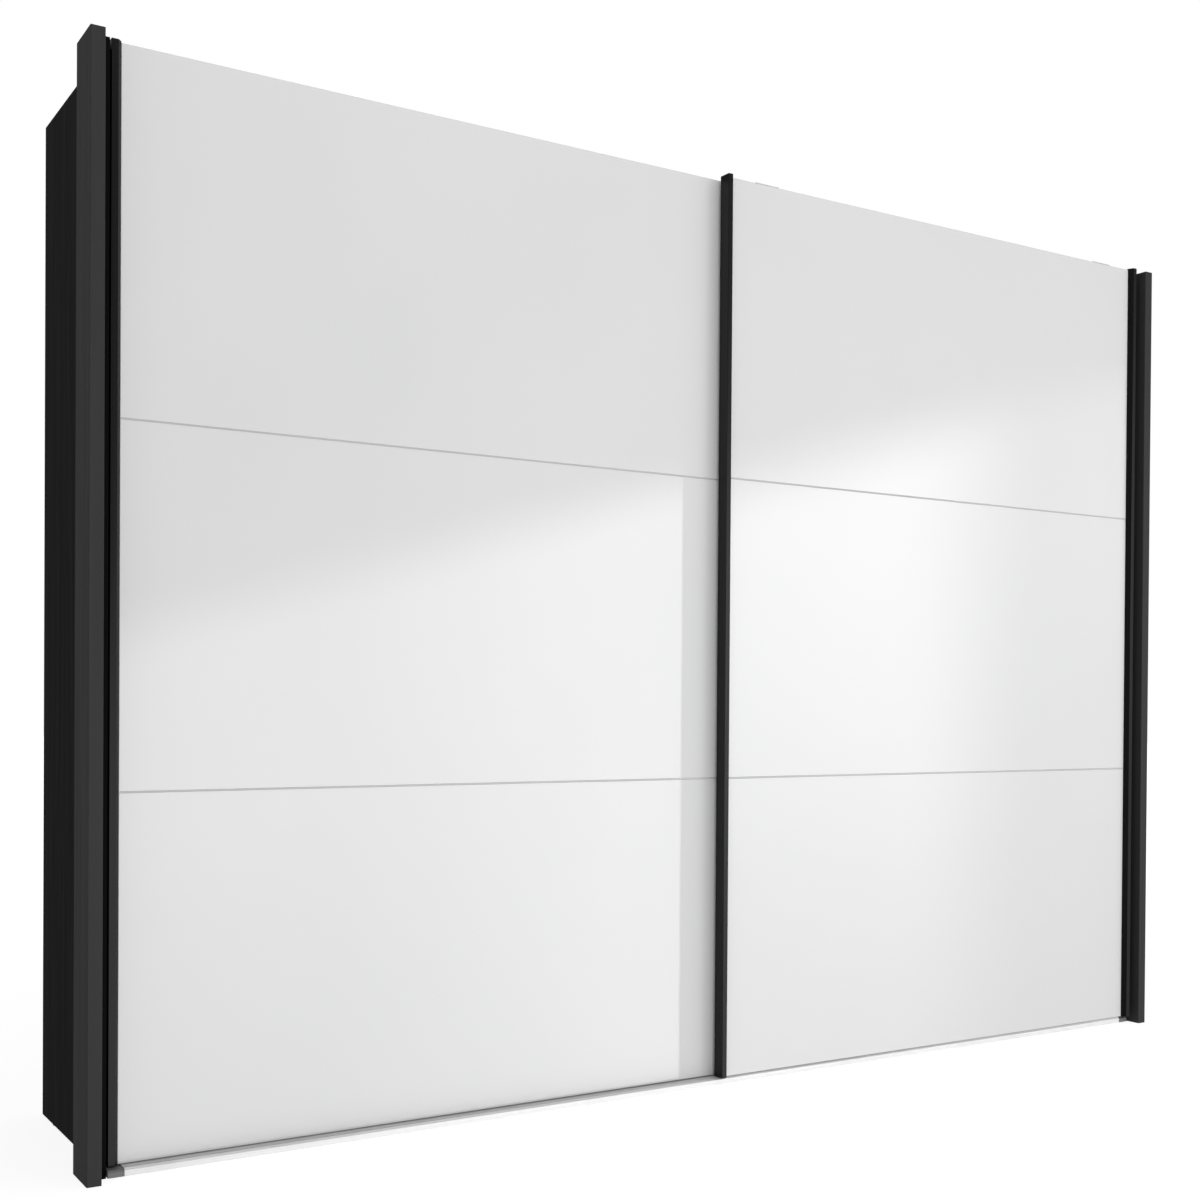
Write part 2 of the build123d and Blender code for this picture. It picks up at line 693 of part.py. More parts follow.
def stiffener_section(door_x, face_y):
    """Plan of both stiffeners: upright bars let flush into the back of the board."""
    board_back = face_y + door_thickness
    for offset in (-stiffener_offset, stiffener_offset):
        bar_middle = middle(door_x) + offset
        bar_x = (bar_middle - stiffener_width / 2, bar_middle + stiffener_width / 2)
        rectangle_between(bar_x, (board_back - stiffener_depth, board_back))


def stiffeners(door_x, face_y, top_z):
    with BuildPart() as bars:
        with BuildSketch(Plane.XY.offset(door_bottom + stiffener_margin)):
            stiffener_section(door_x, face_y)
        extrude(amount=top_z - door_bottom - 2 * stiffener_margin)
    return bars


def door_board(door_x, face_y, top_z, bores):
    """The backing board. Each bore is given as (start, direction, length, radius)."""
    board_x = (door_x[0] + strip_leg, door_x[1] - strip_leg)
    with BuildPart() as panel:
        with BuildSketch(Plane.XY.offset(door_bottom)):
            rectangle_between(board_x, (face_y + glass_thickness, face_y + door_thickness))
        extrude(amount=top_z - door_bottom)
        with BuildSketch(Plane.XY.offset(door_bottom + stiffener_margin)):
            stiffener_section(door_x, face_y)
        extrude(amount=top_z - door_bottom - 2 * stiffener_margin, mode=Mode.SUBTRACT)
        for start, direction, length, radius in bores:
            with BuildSketch(Plane(origin=start, z_dir=direction)):
                Circle(radius)
            extrude(amount=length, mode=Mode.SUBTRACT)
    return panel


def door_guides(door_x, face_y):
    """Fins under the door's lower edge that run in a slot of the bottom track."""
    guide_y = face_y + board_centre
    foot_y = (guide_y - guide_foot / 2, guide_y + guide_foot / 2)
    fin_y = (guide_y - guide_fin / 2, guide_y + guide_fin / 2)
    with BuildPart() as guides:
        for guide_x in (door_x[0] + guide_inset, door_x[1] - guide_inset):
            with BuildSketch(Plane.YZ.offset(guide_x - guide_length / 2)):
                rectangle_between(foot_y, (door_bottom - guide_foot_height, door_bottom))
                rectangle_between(fin_y, (guide_bottom, door_bottom))
            extrude(amount=guide_length)
    return guides


# Wheels with a round groove, and the stub axles that carry them.
wheel_rim = 4.0
wheel_hub_radius = 7.0
wheel_dish = 0.8
collar_radius = 6.0
axle_head_radius = 6.5
axle_head_thickness = 2.0
wheel_side_gap = 0.5


def wheel(x, y):
    groove_half = rail_head_radius + running_gap
    with BuildPart() as roller:
        with BuildSketch(Plane(origin=(x, y, axle_z), x_dir=(0, 1, 0), z_dir=(1, 0, 0))):
            rectangle_between((-wheel_width / 2, wheel_width / 2), (axle_radius + running_gap, wheel_radius))
            with Locations((0, groove_centre_radius)):
                Circle(groove_half, mode=Mode.SUBTRACT)
            mouth_v = (groove_centre_radius, wheel_radius)
            rectangle_between((-groove_half, groove_half), mouth_v, Mode.SUBTRACT)
            for side in (-1, 1):
                dish = ordered(side * (wheel_width / 2 - wheel_dish), side * wheel_width / 2)
                rectangle_between(dish, (wheel_hub_radius, wheel_radius - wheel_rim), Mode.SUBTRACT)
        revolve(axis=Axis((x, y, axle_z), (0, 1, 0)))
    return roller


def axle(x, plate_front, wheel_y):
    """Add a stub axle to the current part: stub in the plate, collar, journal, end washer."""
    plate_back = plate_front + hanger_thickness
    wheel_front = wheel_y - wheel_width / 2 - wheel_side_gap
    wheel_back = wheel_y + wheel_width / 2 + wheel_side_gap
    with BuildSketch(Plane(origin=(x, 0, axle_z), x_dir=(0, 1, 0), z_dir=(1, 0, 0))) as profile:
        rectangle_between((plate_front, wheel_back), (0, axle_radius))
        rectangle_between((plate_back, wheel_front), (0, collar_radius))
        rectangle_between((wheel_back, wheel_back + axle_head_thickness), (0, axle_head_radius))
    revolve(profile.sketch, axis=Axis((x, 0, axle_z), (0, 1, 0)))


# ---------------------------------------------------------------- left door, in the rear plane
left_glass_x = (left_door_x[0] + strip_width + joint_gap, left_door_x[1] - flat_edge_width - joint_gap)
left_panes, left_dividers = glass_rows(rear_door_top)
left_board_back = rear_face + door_thickness
left_edge_x = (left_door_x[1] - flat_edge_width, left_door_x[1])

save(handle_strip(left_door_x[0], 1, rear_face, rear_strip_rise, rear_strip_top), "left_door_handle_strip")
left_edge = board(left_edge_x, (rear_face, left_board_back), (door_bottom, rear_door_top))
save(left_edge, "left_door_edge_strip")
for row_name, row_z in zip(("top", "middle", "bottom"), left_panes):
    save(glass_pane(left_glass_x, rear_face, row_z), f"left_door_glass_{row_name}")
save(divider_bars(left_glass_x, rear_face, left_dividers), "left_door_dividers")
save(stiffeners(left_door_x, rear_face, rear_door_top), "left_door_stiffeners")
save(door_guides(left_door_x, rear_face), "left_door_guides")

# Flat hanger plates screwed to the back of the board, behind its upper edge.
hanger_bottom = 2100.0
hanger_top = 2158.0
hanger_corner = 6.0
hanger_screw_offset = 25.0
hanger_screw_zs = (hanger_bottom + 8.0, hanger_top - 8.0)
hanger_screw_bite = 11.0
left_hanger_y = (left_board_back, left_board_back + hanger_thickness)
hanger_screw_xs = [x + o for x in left_wheels_x for o in (-hanger_screw_offset, hanger_screw_offset)]
left_seats = []
left_bores = []
for screw_x in hanger_screw_xs:
    for screw_z in hanger_screw_zs:
        bore_mouth = (screw_x, left_hanger_y[0], screw_z)
        left_seats.append((screw_x, left_hanger_y[1], screw_z))
        left_bores.append((bore_mouth, (0, -1, 0), hanger_screw_bite, screw_radius))

save(door_board(left_door_x, rear_face, rear_door_top, left_bores), "left_door_board")
save(screws(left_seats, (0, -1, 0), hanger_thickness + hanger_screw_bite), "left_door_screws")

with BuildPart() as left_door_hangers:
    for wheel_x in left_wheels_x:
        with BuildSketch(Plane.XZ.offset(-left_hanger_y[0])):
            with Locations((wheel_x, (hanger_bottom + hanger_top) / 2)):
                RectangleRounded(hanger_width, hanger_top - hanger_bottom, hanger_corner)
                with GridLocations(2 * hanger_screw_offset, span(hanger_screw_zs), 2, 2):
                    Circle(screw_radius, mode=Mode.SUBTRACT)
        extrude(amount=-hanger_thickness)
        axle(wheel_x, left_hanger_y[0], rear_rail_y)
save(left_door_hangers, "left_door_hangers")

for wheel_name, wheel_x in zip(("left", "right"), left_wheels_x):
    save(wheel(wheel_x, rear_rail_y), f"left_door_wheel_{wheel_name}")

# ---------------------------------------------------------------- right door, in the front plane
right_glass_x = (right_door_x[0] + strip_width + joint_gap, right_door_x[1] - strip_width - joint_gap)
right_panes, right_dividers = glass_rows(front_door_top)

right_strip_left = handle_strip(right_door_x[0], 1, front_face, front_strip_rise, front_strip_top)
right_strip_right = handle_strip(right_door_x[1], -1, front_face, front_strip_rise, front_strip_top)
save(right_strip_left, "right_door_handle_strip_left")
save(right_strip_right, "right_door_handle_strip_right")
for row_name, row_z in zip(("top", "middle", "bottom"), right_panes):
    save(glass_pane(right_glass_x, front_face, row_z), f"right_door_glass_{row_name}")
save(divider_bars(right_glass_x, front_face, right_dividers), "right_door_dividers")
save(stiffeners(right_door_x, front_face, front_door_top), "right_door_stiffeners")
save(door_guides(right_door_x, front_face), "right_door_guides")

# Bent arms that lie on the board's upper edge and reach back over the rear door to the front rail.
arm_collar = 2.5               # length of the axle's collar behind the arm
arm_drop_back = front_rail_y - wheel_width / 2 - wheel_side_gap - arm_collar
arm_bottom = 2118.0
arm_bend = 5.0
arm_screw_radius = 2.0
arm_screw_head_radius = 4.0
arm_screw_sink = 2.0
arm_screw_length = 30.0
arm_screw_offset = 22.0
arm_top = front_door_top + hanger_thickness
arm_y = (front_face + glass_thickness, arm_drop_back)
arm_screw_y = front_face + board_centre
arm_screw_xs = [x + o for x in right_wheels_x for o in (-arm_screw_offset, arm_screw_offset)]


def arm_screw(x, mode=Mode.ADD):
    """Revolve a flat-headed screw, flush with the arm's upper face, into the current part."""
    outline = [
        (0, arm_top),
        (arm_screw_head_radius, arm_top),
        (arm_screw_radius, arm_top - arm_screw_sink),
        (arm_screw_radius, arm_top - arm_screw_length),
        (0, arm_top - arm_screw_length),
    ]
    with BuildSketch(Plane(origin=(x, arm_screw_y, 0), x_dir=(1, 0, 0), z_dir=(0, -1, 0))) as profile:
        with BuildLine():
            Polyline(*outline, close=True)
        make_face()
    revolve(profile.sketch, axis=Axis((x, arm_screw_y, 0), (0, 0, 1)), mode=mode)


with BuildPart() as right_door_screws:
    for screw_x in arm_screw_xs:
        arm_screw(screw_x)
        with BuildSketch(Plane.XY.offset(arm_top)):
            with Locations((screw_x, arm_screw_y)):
                RegularPolygon(screw_socket_radius, 6)
        extrude(amount=-screw_socket_depth, mode=Mode.SUBTRACT)
save(right_door_screws, "right_door_screws")

arm_bore_length = arm_screw_length - hanger_thickness
right_bores = []
for screw_x in arm_screw_xs:
    bore_mouth = (screw_x, arm_screw_y, front_door_top)
    right_bores.append((bore_mouth, (0, 0, -1), arm_bore_length, arm_screw_radius))
save(door_board(right_door_x, front_face, front_door_top, right_bores), "right_door_board")

with BuildPart() as right_door_hanger_arms:
    for wheel_x in right_wheels_x:
        with BuildSketch(Plane.YZ.offset(wheel_x - hanger_width / 2)):
            rectangle_between(arm_y, (front_door_top, arm_top))
            rectangle_between((arm_drop_back - hanger_thickness, arm_drop_back), (arm_bottom, arm_top))
            outer_bend = vertices().sort_by_distance((arm_drop_back, arm_top))[0]
            fillet(outer_bend, arm_bend)
            inner_bend = vertices().sort_by_distance((arm_drop_back - hanger_thickness, front_door_top))[0]
            fillet(inner_bend, arm_bend - hanger_thickness)
        extrude(amount=hanger_width)
        axle(wheel_x, arm_drop_back - hanger_thickness, front_rail_y)
    for screw_x in arm_screw_xs:
        arm_screw(screw_x, Mode.SUBTRACT)
save(right_door_hanger_arms, "right_door_hanger_arms")

for wheel_name, wheel_x in zip(("left", "right"), right_wheels_x):
    save(wheel(wheel_x, front_rail_y), f"right_door_wheel_{wheel_name}")
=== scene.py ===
import json
import math

import bpy
from mathutils import Matrix, Vector

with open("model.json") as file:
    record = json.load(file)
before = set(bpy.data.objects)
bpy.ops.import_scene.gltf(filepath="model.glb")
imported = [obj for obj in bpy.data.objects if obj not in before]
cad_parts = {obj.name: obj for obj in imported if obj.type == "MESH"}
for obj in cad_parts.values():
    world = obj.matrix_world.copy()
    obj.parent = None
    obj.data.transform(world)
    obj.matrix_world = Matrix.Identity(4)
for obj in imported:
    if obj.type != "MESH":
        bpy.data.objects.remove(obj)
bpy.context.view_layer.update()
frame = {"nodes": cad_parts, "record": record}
nodes = frame["nodes"]
scene = bpy.context.scene

# ------------------------------------------------------------------ camera
# The eye is in metres. The lens is shifted up a little, which keeps the posts upright.
SENSOR_WIDTH_MM = 36.0
LENS_MM = 46.5
LENS_SHIFT_UP = 0.0999
CLIP_NEAR, CLIP_FAR = 0.05, 200.0
EYE = Vector((-2.2318, -3.236, 0.9087))
YAW, PITCH, ROLL = math.radians(32.2), math.radians(-0.54), math.radians(0.379)

forward = Vector((
    math.sin(YAW) * math.cos(PITCH),
    math.cos(YAW) * math.cos(PITCH),
    math.sin(PITCH),
))
level_right = Vector((math.cos(YAW), -math.sin(YAW), 0))
level_up = level_right.cross(forward)
right = level_right * math.cos(ROLL) + level_up * math.sin(ROLL)
up = level_up * math.cos(ROLL) - level_right * math.sin(ROLL)

camera_data = bpy.data.cameras.new("camera")
camera_data.sensor_width = SENSOR_WIDTH_MM
camera_data.lens = LENS_MM
camera_data.shift_y = LENS_SHIFT_UP
camera_data.clip_start = CLIP_NEAR
camera_data.clip_end = CLIP_FAR
camera = bpy.data.objects.new("camera", camera_data)
scene.collection.objects.link(camera)
camera_axes = Matrix((right, up, -forward)).transposed().to_4x4()
camera.matrix_world = Matrix.Translation(EYE) @ camera_axes
scene.camera = camera

scene.view_settings.view_transform = "Standard"
scene.view_settings.look = "None"


# ------------------------------------------------------------------ node materials
# How dense a board's grain, a drawn profile's hairlines and a divider's are along X, Y and Z.
GRAIN_UPRIGHT = (46, 46, 2.2)
GRAIN_SIDEWAYS = (2.2, 46, 46)
HAIRLINES_ALONG_X = (1.2, 420, 420)
DIVIDER_HAIRLINES = (1.5, 300, 300)
BEVEL_SAMPLES = 6
# Sockets of a colour Mix node, whose names repeat, and of a Map Range node.
MIX_FACTOR, MIX_A, MIX_B, MIX_RESULT = 0, 6, 7, 2
RANGE_SOCKETS = ("From Min", "From Max", "To Min", "To Max")


class Finish:
    """One procedural material on a Principled shader, with a few short ways to add nodes."""

    def __init__(self, name, **sockets):
        self.material = bpy.data.materials.new(name)
        self.material.use_nodes = True
        self.tree = self.material.node_tree
        self.tree.nodes.clear()
        self.shader = self.add("ShaderNodeBsdfPrincipled")
        self.output = self.add("ShaderNodeOutputMaterial")
        self.tree.links.new(self.shader.outputs["BSDF"], self.output.inputs["Surface"])
        self.place = self.add("ShaderNodeTexCoord").outputs["Object"]
        for socket, value in sockets.items():
            self.shader.inputs[socket.replace("_", " ")].default_value = value

    def add(self, kind, **settings):
        node = self.tree.nodes.new(kind)
        for key, value in settings.items():
            setattr(node, key, value)
        return node

    def feed(self, socket, value):
        if isinstance(value, bpy.types.NodeSocket):
            self.tree.links.new(value, socket)
        else:
            socket.default_value = value

    def drive(self, name, value):
        self.feed(self.shader.inputs[name], value)

    def stretched(self, stretch):
        mapping = self.add("ShaderNodeMapping")
        self.feed(mapping.inputs["Vector"], self.place)
        mapping.inputs["Scale"].default_value = stretch
        return mapping.outputs["Vector"]

    def noise(self, scale, stretch=(1, 1, 1), detail=3.0, rough=0.55, twist=0.0):
        node = self.add("ShaderNodeTexNoise")
        self.feed(node.inputs["Vector"], self.stretched(stretch))
        node.inputs["Scale"].default_value = scale
        node.inputs["Detail"].default_value = detail
        node.inputs["Roughness"].default_value = rough
        node.inputs["Distortion"].default_value = twist
        return node.outputs["Fac"]

    def cells(self, scale):
        """A random colour for each small cell."""
        node = self.add("ShaderNodeTexVoronoi")
        self.feed(node.inputs["Vector"], self.place)
        node.inputs["Scale"].default_value = scale
        return node.outputs["Color"]

    def spread(self, value, low, high, out_low=0.0, out_high=1.0):
        """The value's range from low to high, eased onto the range from out_low to out_high."""
        node = self.add("ShaderNodeMapRange", interpolation_type="SMOOTHSTEP")
        self.feed(node.inputs["Value"], value)
        for label, number in zip(RANGE_SOCKETS, (low, high, out_low, out_high)):
            node.inputs[label].default_value = number
        return node.outputs["Result"]

    def math(self, operation, a, b=0.0):
        node = self.add("ShaderNodeMath", operation=operation)
        self.feed(node.inputs[0], a)
        self.feed(node.inputs[1], b)
        return node.outputs[0]

    def mix(self, factor, a, b):
        node = self.add("ShaderNodeMix", data_type="RGBA")
        self.feed(node.inputs[MIX_FACTOR], factor)
        self.feed(node.inputs[MIX_A], a)
        self.feed(node.inputs[MIX_B], b)
        return node.outputs[MIX_RESULT]

    def bumps(self, *layers):
        """Stack of (height, depth in metres) layers on the shader's normal."""
        normal = None
        for height, depth in layers:
            node = self.add("ShaderNodeBump")
            self.feed(node.inputs["Height"], height)
            node.inputs["Distance"].default_value = depth
            node.inputs["Strength"].default_value = 1.0
            if normal:
                self.tree.links.new(normal, node.inputs["Normal"])
            normal = node.outputs["Normal"]
        self.drive("Normal", normal)

    def edges(self, radius, low=0.004, high=0.12):
        """1 along the piece's sharp or eased edges, 0 on its flats."""
        bevel = self.add("ShaderNodeBevel", samples=BEVEL_SAMPLES)
        bevel.inputs["Radius"].default_value = radius
        geometry = self.add("ShaderNodeNewGeometry")
        dot = self.add("ShaderNodeVectorMath", operation="DOT_PRODUCT")
        self.feed(dot.inputs[0], bevel.outputs["Normal"])
        self.feed(dot.inputs[1], geometry.outputs["Normal"])
        return self.spread(self.math("SUBTRACT", 1.0, dot.outputs["Value"]), low, high)


def grey(value, warm=0.0):
    """A grey of this brightness, with this share more red and less blue."""
    return (value * (1 + warm), value, value * (1 - warm), 1.0)


def scaled(colour, factor):
    return (colour[0] * factor, colour[1] * factor, colour[2] * factor, 1.0)


def decor_board(name, base, contrast, rough, specular, wear, along=GRAIN_UPRIGHT):
    """Melamine-faced board: soft streaks along the grain, fine pores, edges rubbed lighter."""
    f = Finish(name, IOR=1.5, Specular_IOR_Level=specular)
    streaks = f.noise(1.0, along, detail=6.0, rough=0.62, twist=0.4)
    clouds = f.noise(2.6, detail=3.0)
    pores = f.noise(1.0, (900, 900, 130), detail=2.0)
    dark, light = scaled(base, 1 - contrast), scaled(base, 1 + contrast)
    tone = f.mix(f.spread(streaks, 0.3, 0.72), dark, light)
    tone = f.mix(f.spread(clouds, 0.3, 0.7, 0.0, 0.35), tone, scaled(base, 1 + contrast * 0.6))
    tone = f.mix(f.spread(pores, 0.58, 0.78, 0.0, 0.3), tone, scaled(base, 0.55))
    rubbed = f.math("MULTIPLY", f.edges(0.0012), f.spread(f.noise(34.0, detail=4.0), 0.42, 0.7))
    tone = f.mix(f.math("MULTIPLY", rubbed, wear), tone, scaled(base, 2.4))
    f.drive("Base Color", tone)
    f.drive("Roughness", f.spread(streaks, 0.25, 0.8, rough - 0.06, rough + 0.07))
    f.bumps((streaks, 0.000048), (pores, 0.00006))
    return f


def linen_board(name, base, rough):
    """Melamine with a woven linen print: two crossing sets of fine threads on each face."""
    f = Finish(name, IOR=1.5, Specular_IOR_Level=0.35)
    facing = f.add("ShaderNodeSeparateXYZ")
    f.feed(facing.inputs[0], f.add("ShaderNodeNewGeometry").outputs["Normal"])
    threads = []
    # Threads are fine along one axis, and a set drops out on faces square to that axis.
    for axis, stretch in enumerate(((620, 14, 14), (14, 620, 14), (14, 14, 620))):
        shown = f.math("SUBTRACT", 1.0, f.math("ABSOLUTE", facing.outputs[axis]))
        threads.append(f.math("MULTIPLY", f.noise(1.0, stretch, detail=3.0, rough=0.6), shown))
    weave = f.math("ADD", f.math("ADD", threads[0], threads[1]), threads[2])
    weave = f.spread(weave, 0.78, 1.25)
    slub = f.noise(9.0, (1, 1, 6), detail=4.0)
    tone = f.mix(weave, scaled(base, 0.84), scaled(base, 1.1))
    tone = f.mix(f.spread(slub, 0.35, 0.7, 0.0, 0.25), tone, scaled(base, 0.95))
    tone = f.mix(f.math("MULTIPLY", f.edges(0.001), 0.35), tone, scaled(base, 1.25))
    f.drive("Base Color", tone)
    f.drive("Roughness", f.spread(weave, 0.0, 1.0, rough - 0.05, rough + 0.08))
    f.bumps((weave, 0.00005))
    return f


def white_glass():
    """Glossy glass painted white on its back: clear coat over a bright ground, edges paler: partly
    the glass's own edge colour, partly a painted highlight along the arris.
    """
    f = Finish(
        "glass_back_painted_white",
        Roughness=0.5,
        IOR=1.5,
        Specular_IOR_Level=0.1,
        Coat_Weight=1.0,
        Coat_IOR=1.52,
    )
    paint = f.noise(1.3, detail=3.0, rough=0.5)
    paint_fine = f.noise(70.0, detail=2.0)
    dark, light = (0.664, 0.666, 0.666, 1.0), (0.686, 0.686, 0.685, 1.0)
    tone = f.mix(f.spread(paint, 0.3, 0.7), dark, light)
    tone = f.mix(f.spread(paint_fine, 0.3, 0.75, 0.0, 0.2), tone, (0.672, 0.672, 0.672, 1.0))
    # Along the arris the ground is painted near-white: partly the pale colour of the glass edge,
    # partly a painted highlight line.
    cut_edge_and_highlight = f.edges(0.0014, 0.015, 0.25)
    tone = f.mix(f.math("MULTIPLY", cut_edge_and_highlight, 0.85), tone, (0.93, 0.96, 0.95, 1.0))
    f.drive("Base Color", tone)
    smears = f.noise(6.0, (1.0, 1.0, 2.4), detail=6.0, rough=0.7, twist=1.2)
    f.drive("Coat Roughness", f.spread(smears, 0.45, 0.85, 0.012, 0.045))
    roller_wave = f.noise(1.0, (0.6, 1.0, 4.2), detail=1.0)
    wave_bump = f.add("ShaderNodeBump")
    f.feed(wave_bump.inputs["Height"], roller_wave)
    wave_bump.inputs["Distance"].default_value = 0.0005
    f.drive("Coat Normal", wave_bump.outputs["Normal"])
    return f


def coated_strip():
    """Powder-coated aluminium grip: satin graphite with a fine orange peel and bright specks."""
    f = Finish("powder_coat_graphite", IOR=1.5, Specular_IOR_Level=0.17)
    base = grey(0.005)
    peel = f.noise(520.0, detail=2.0)
    drawn = f.noise(1.0, (210, 210, 1.4), detail=4.0, rough=0.6)
    fleck = f.cells(1500.0)
    fleck_mask = f.spread(fleck, 0.86, 0.97, 0.0, 0.55)
    tone = f.mix(f.spread(drawn, 0.3, 0.7), scaled(base, 0.86), scaled(base, 1.2))
    tone = f.mix(fleck_mask, tone, grey(0.05))
    worn = f.math("MULTIPLY", f.edges(0.0008), f.spread(f.noise(24.0, detail=5.0), 0.45, 0.75))
    tone = f.mix(f.math("MULTIPLY", worn, 0.5), tone, grey(0.075))
    f.drive("Base Color", tone)
    f.drive("Roughness", f.spread(drawn, 0.25, 0.75, 0.27, 0.37))
    f.bumps((peel, 0.00004), (drawn, 0.00003))
    return f


def drawn_metal(name, base, rough, along=HAIRLINES_ALONG_X, metal=1.0):
    """Drawn metal, or anodised matt where metal is below 1: hairlines, stain, brighter edges."""
    f = Finish(name, Metallic=metal, Anisotropic=0.55)
    lines = f.noise(1.0, along, detail=5.0, rough=0.65)
    stain = f.noise(7.0, detail=4.0)
    tone = f.mix(f.spread(lines, 0.3, 0.7), scaled(base, 0.86), scaled(base, 1.08))
    tone = f.mix(f.spread(stain, 0.45, 0.75, 0.0, 0.35), tone, scaled(base, 0.8))
    tone = f.mix(f.math("MULTIPLY", f.edges(0.0006), 0.6), tone, scaled(base, 1.3))
    f.drive("Base Color", tone)
    f.drive("Roughness", f.spread(lines, 0.25, 0.75, rough - 0.06, rough + 0.1))
    f.bumps((lines, 0.00004))
    return f


def zinc_sheet(name, base, rough):
    """Zinc-plated steel: faint spangle, pale yellow-blue passivation, scuffed roughness."""
    f = Finish(name, Metallic=1.0)
    spangle = f.cells(160.0)
    mottle = f.noise(45.0, detail=5.0, rough=0.65)
    bluish, yellowish = (0.60, 0.61, 0.65, 1), (0.66, 0.63, 0.56, 1)
    tint = f.mix(f.spread(f.noise(18.0, detail=2.0), 0.35, 0.65), bluish, yellowish)
    tone = f.mix(f.spread(spangle, 0.0, 1.0, 0.0, 0.35), tint, base)
    tone = f.mix(f.spread(mottle, 0.5, 0.8, 0.0, 0.5), tone, scaled(base, 0.62))
    tone = f.mix(f.math("MULTIPLY", f.edges(0.0007), 0.5), tone, grey(0.8))
    f.drive("Base Color", tone)
    f.drive("Roughness", f.spread(mottle, 0.3, 0.75, rough - 0.08, rough + 0.16))
    f.bumps((mottle, 0.00008))
    return f


def moulded(name, base, rough, tooth=0.00008, specular=0.45, speck=0.1):
    """Moulded plastic or rubber: fine spark-eroded texture, slight cloudiness, polished edges."""
    f = Finish(name, IOR=1.48, Specular_IOR_Level=specular)
    grain = f.noise(1300.0, detail=2.0)
    clouds = f.noise(30.0, detail=4.0)
    tone = f.mix(f.spread(clouds, 0.3, 0.7), scaled(base, 1 - speck), scaled(base, 1 + speck))
    tone = f.mix(f.math("MULTIPLY", f.edges(0.0008), 0.5), tone, scaled(base, 1.6))
    f.drive("Base Color", tone)
    f.drive("Roughness", f.spread(clouds, 0.3, 0.75, rough - 0.06, rough + 0.08))
    f.bumps((grain, tooth))
    return f


def turned_nylon():
    """Wheels turned from off-white nylon: rings round the axle show as fine circular grooves."""
    f = Finish("nylon_turned", IOR=1.53, Subsurface_Weight=0.1, Subsurface_Scale=0.003)
    cloud = f.noise(60.0, detail=4.0)
    rings = f.noise(1.0, (1400, 260, 1400), detail=2.0)
    tone = f.mix(f.spread(cloud, 0.3, 0.7), (0.58, 0.57, 0.53, 1), (0.68, 0.67, 0.64, 1))
    f.drive("Base Color", tone)
    f.drive("Roughness", f.spread(rings, 0.3, 0.7, 0.32, 0.46))
    f.bumps((rings, 0.00003))
    return f


def chrome_tube():
    """Chromed oval tube: near-mirror with hairline polishing marks along its length."""
    f = Finish("chrome_polished", Metallic=1.0)
    lines = f.noise(1.0, (3, 700, 700), detail=4.0)
    f.drive("Base Color", f.mix(f.spread(lines, 0.4, 0.8), grey(0.74), grey(0.62)))
    f.drive("Roughness", f.spread(f.noise(16.0, (1, 3, 3), detail=5.0), 0.35, 0.8, 0.05, 0.17))
    f.bumps((lines, 0.00001))
    return f


finishes = {
    "post_decor": decor_board(
        "melamine_graphite_post",
        grey(0.035), contrast=0.06, rough=0.5, specular=0.07, wear=0.4,
    ),
    # The carcass side is the post's graphite decor painted about four times darker: painted shade
    # for the side turned away from the light.
    "side_decor": decor_board(
        "melamine_graphite_side_painted_shade",
        grey(0.009), contrast=0.06, rough=0.6, specular=0.04, wear=0.35,
    ),
    "plinth_decor": decor_board(
        "melamine_graphite_plinth",
        grey(0.018), contrast=0.07, rough=0.55, specular=0.15, wear=0.3, along=GRAIN_SIDEWAYS,
    ),
    # The batten is a black board, and its near-black tone is also painted shade standing in for the
    # deep gap between the post and the strip.
    "batten_black": decor_board(
        "board_black_with_painted_gap_shade",
        grey(0.0022), contrast=0.2, rough=0.75, specular=0.05, wear=0.2,
    ),
    "interior_decor": linen_board("melamine_linen_grey", grey(0.46, 0.03), rough=0.5),
    "back_board": linen_board("hardboard_linen_grey", grey(0.44, 0.035), rough=0.58),
    "door_board": linen_board("melamine_linen_door_back", grey(0.45, 0.03), rough=0.52),
    "white_glass": white_glass(),
    "strip_graphite": coated_strip(),
    "divider_grey": drawn_metal(
        "aluminium_divider", grey(0.46), rough=0.55, along=DIVIDER_HAIRLINES, metal=0.15
    ),
    "top_track_alu": drawn_metal("aluminium_top_track", grey(0.6), rough=0.3),
    "bottom_track_alu": drawn_metal("aluminium_bottom_track", grey(0.66), rough=0.5, metal=0.5),
    "zinc_steel": zinc_sheet("steel_zinc_plated", grey(0.52), rough=0.36),
    "zinc_fitting": zinc_sheet("zinc_die_cast", grey(0.46), rough=0.42),
    "steel_screw": zinc_sheet("screw_bright_zinc", grey(0.6), rough=0.3),
    "chrome_rail": chrome_tube(),
    "wheel_nylon": turned_nylon(),
    "black_plastic": moulded("plastic_black", grey(0.016), rough=0.5),
    "guide_plastic": moulded("plastic_guide_black", grey(0.03), rough=0.38, tooth=0.00004),
    "grey_plastic": moulded("plastic_grey", grey(0.32), rough=0.42),
    "cap_plastic": moulded("plastic_cap_grey", grey(0.12), rough=0.44),
    "stop_rubber": moulded(
        "rubber_black", grey(0.014), rough=0.72, tooth=0.00014, specular=0.25, speck=0.18
    ),
}

for entry in frame["record"]["subparts"]:
    mesh = nodes[entry["node"]].data
    mesh.materials.clear()
    mesh.materials.append(finishes[entry["material_slot"]].material)

